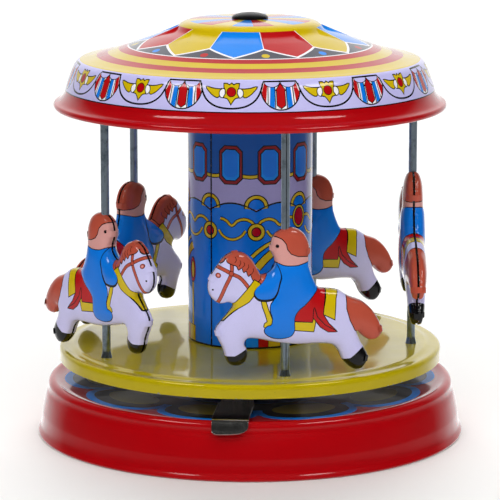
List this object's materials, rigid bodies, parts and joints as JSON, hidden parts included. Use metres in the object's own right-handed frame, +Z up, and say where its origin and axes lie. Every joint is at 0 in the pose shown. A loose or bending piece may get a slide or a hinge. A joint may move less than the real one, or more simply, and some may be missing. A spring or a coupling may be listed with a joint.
{
  "type": "wind-up musical carousel",
  "caption": "Tinplate clockwork carousel: horses with riders on poles turn between a round base holding a pinned-cylinder musical movement and a domed canopy.",
  "frame": {"origin": "centre of the base's bottom, on the turning axis, at the surface that the toy stands on", "axes": "+Z up along the turning axis; -Y is the front, with the stop lever; +X to the right seen from the front"},
  "size_m": [0.16, 0.16, 0.1572],
  "materials": {
    "red_lacquer": "gloss lacquer on tinplate",
    "tinplate": "bright tinplate",
    "yellow_lacquer": "gloss lacquer on tinplate",
    "printed_column": "lithographed and varnished",
    "printed_canopy": "lithographed and varnished",
    "black_plastic": "gloss",
    "printed_figure": "lithographed and varnished",
    "zinc_plated_steel": "bright zinc plate",
    "brass": "turned brass",
    "blued_spring_steel": "blued",
    "cast_zinc": "as cast"
  },
  "bodies": {
    "base": {"base_shell": "red_lacquer", "base_plate": "tinplate", "deck_bush": "brass", "lever_rivet": "zinc_plated_steel", "click": "zinc_plated_steel", "movement_frame": "zinc_plated_steel", "frame_screws": "zinc_plated_steel", "comb_anvil": "cast_zinc", "comb": "zinc_plated_steel", "comb_screws": "brass"},
    "carousel": {"turntable": "yellow_lacquer", "brake_drum": "zinc_plated_steel", "drive_tube": "brass", "column": "printed_column", "canopy_ceiling": "tinplate", "canopy": "printed_canopy", "finial": "black_plastic", "finial_nut": "zinc_plated_steel", "pole_1": "zinc_plated_steel", "pole_2": "zinc_plated_steel", "pole_3": "zinc_plated_steel", "pole_4": "zinc_plated_steel", "pole_5": "zinc_plated_steel", "spring_barrel": "brass", "barrel_cap": "brass", "crown_wheel": "brass", "mainspring": "blued_spring_steel"},
    "horse_1": {"horse_1_left_half": "printed_figure", "horse_1_right_half": "printed_figure"},
    "horse_2": {"horse_2_left_half": "printed_figure", "horse_2_right_half": "printed_figure"},
    "horse_3": {"horse_3_left_half": "printed_figure", "horse_3_right_half": "printed_figure"},
    "horse_4": {"horse_4_left_half": "printed_figure", "horse_4_right_half": "printed_figure"},
    "horse_5": {"horse_5_left_half": "printed_figure", "horse_5_right_half": "printed_figure"},
    "key": {"winding_arbor": "zinc_plated_steel", "winding_key": "tinplate", "ratchet_wheel": "zinc_plated_steel"},
    "lever": {"stop_lever": "tinplate"},
    "cylinder": {"music_cylinder": "brass", "cylinder_arbor": "zinc_plated_steel", "cylinder_pinion": "brass", "cylinder_wheel": "brass"},
    "governor": {"governor_arbor": "zinc_plated_steel", "governor_wheel": "brass"},
    "fan": {"fan_arbor": "zinc_plated_steel", "governor_fan": "zinc_plated_steel"}
  },
  "joints": [
    {"name": "carousel_spin", "type": "hinge", "parent": "base", "child": "carousel", "pos_m": [0, 0, 0.03], "axis": [0, 0, 1], "continuous": true},
    {"name": "horse_1_swivel", "type": "hinge", "parent": "carousel", "child": "horse_1", "pos_m": [0.01249, -0.05925, 0.06], "axis": [0, 0, 1], "continuous": true},
    {"name": "horse_2_swivel", "type": "hinge", "parent": "carousel", "child": "horse_2", "pos_m": [0.06021, -0.00643, 0.06], "axis": [0, 0, 1], "continuous": true},
    {"name": "horse_3_swivel", "type": "hinge", "parent": "carousel", "child": "horse_3", "pos_m": [0.02472, 0.05527, 0.06], "axis": [0, 0, 1], "continuous": true},
    {"name": "horse_4_swivel", "type": "hinge", "parent": "carousel", "child": "horse_4", "pos_m": [-0.04493, 0.04059, 0.06], "axis": [0, 0, 1], "continuous": true},
    {"name": "horse_5_swivel", "type": "hinge", "parent": "carousel", "child": "horse_5", "pos_m": [-0.05249, -0.03018, 0.06], "axis": [0, 0, 1], "continuous": true},
    {"name": "key_wind", "type": "hinge", "parent": "base", "child": "key", "pos_m": [0, 0, 0.01], "axis": [0, 0, 1], "continuous": true},
    {"name": "stop_lever_swing", "type": "hinge", "parent": "base", "child": "lever", "pos_m": [-0.00299, -0.03286, 0.0218], "axis": [0, 0, 1], "range_deg": [-5.5, 0]},
    {"name": "cylinder_spin", "type": "hinge", "parent": "base", "child": "cylinder", "pos_m": [0.03, 0, 0.0103], "axis": [1, 0, 0], "continuous": true},
    {"name": "governor_spin", "type": "hinge", "parent": "base", "child": "governor", "pos_m": [0.03, -0.00833, 0.0103], "axis": [1, 0, 0], "continuous": true},
    {"name": "fan_spin", "type": "hinge", "parent": "base", "child": "fan", "pos_m": [0.03, -0.01583, 0.0103], "axis": [1, 0, 0], "continuous": true}
  ],
  "couplings": [
    {"joint": "cylinder_spin", "follows": "carousel_spin", "ratio": -4},
    {"joint": "governor_spin", "follows": "carousel_spin", "ratio": 16},
    {"joint": "fan_spin", "follows": "carousel_spin", "ratio": -64}
  ]
}
